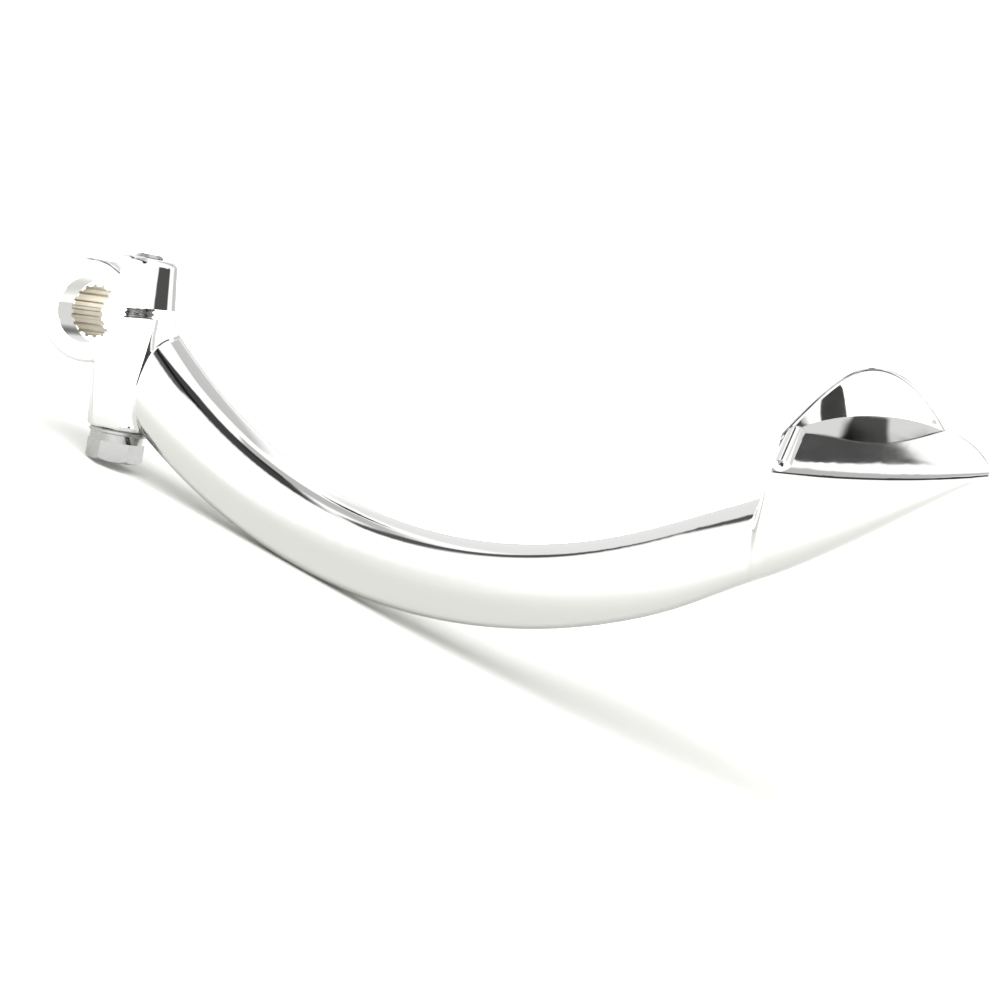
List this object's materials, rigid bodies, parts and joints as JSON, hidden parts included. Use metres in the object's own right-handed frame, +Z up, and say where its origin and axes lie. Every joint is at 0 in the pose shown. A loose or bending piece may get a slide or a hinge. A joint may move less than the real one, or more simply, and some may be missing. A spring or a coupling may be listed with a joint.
{
  "type": "kick start lever",
  "caption": "Chromed kick start lever: a splined split clamp with its pinch bolt, a bowed arm and a leaf-shaped dished foot pad with a domed flange along its far edge.",
  "frame": {"origin": "on the axis of the splined bore, half way along the clamp ring", "axes": "+Y along the bore towards the engine, +Z up the pinch bolt, +X from the bore towards the foot pad"},
  "size_m": [0.2534, 0.0507, 0.0809],
  "materials": {
    "chrome_plate": "polished bright plating, with bare machined splines in the bore",
    "zinc_plate": "dull grey zinc plating"
  },
  "bodies": {
    "root": {"kick_lever": "chrome_plate", "pinch_bolt": "zinc_plate", "flat_washer": "zinc_plate", "spring_washer": "zinc_plate"}
  },
  "joints": []
}
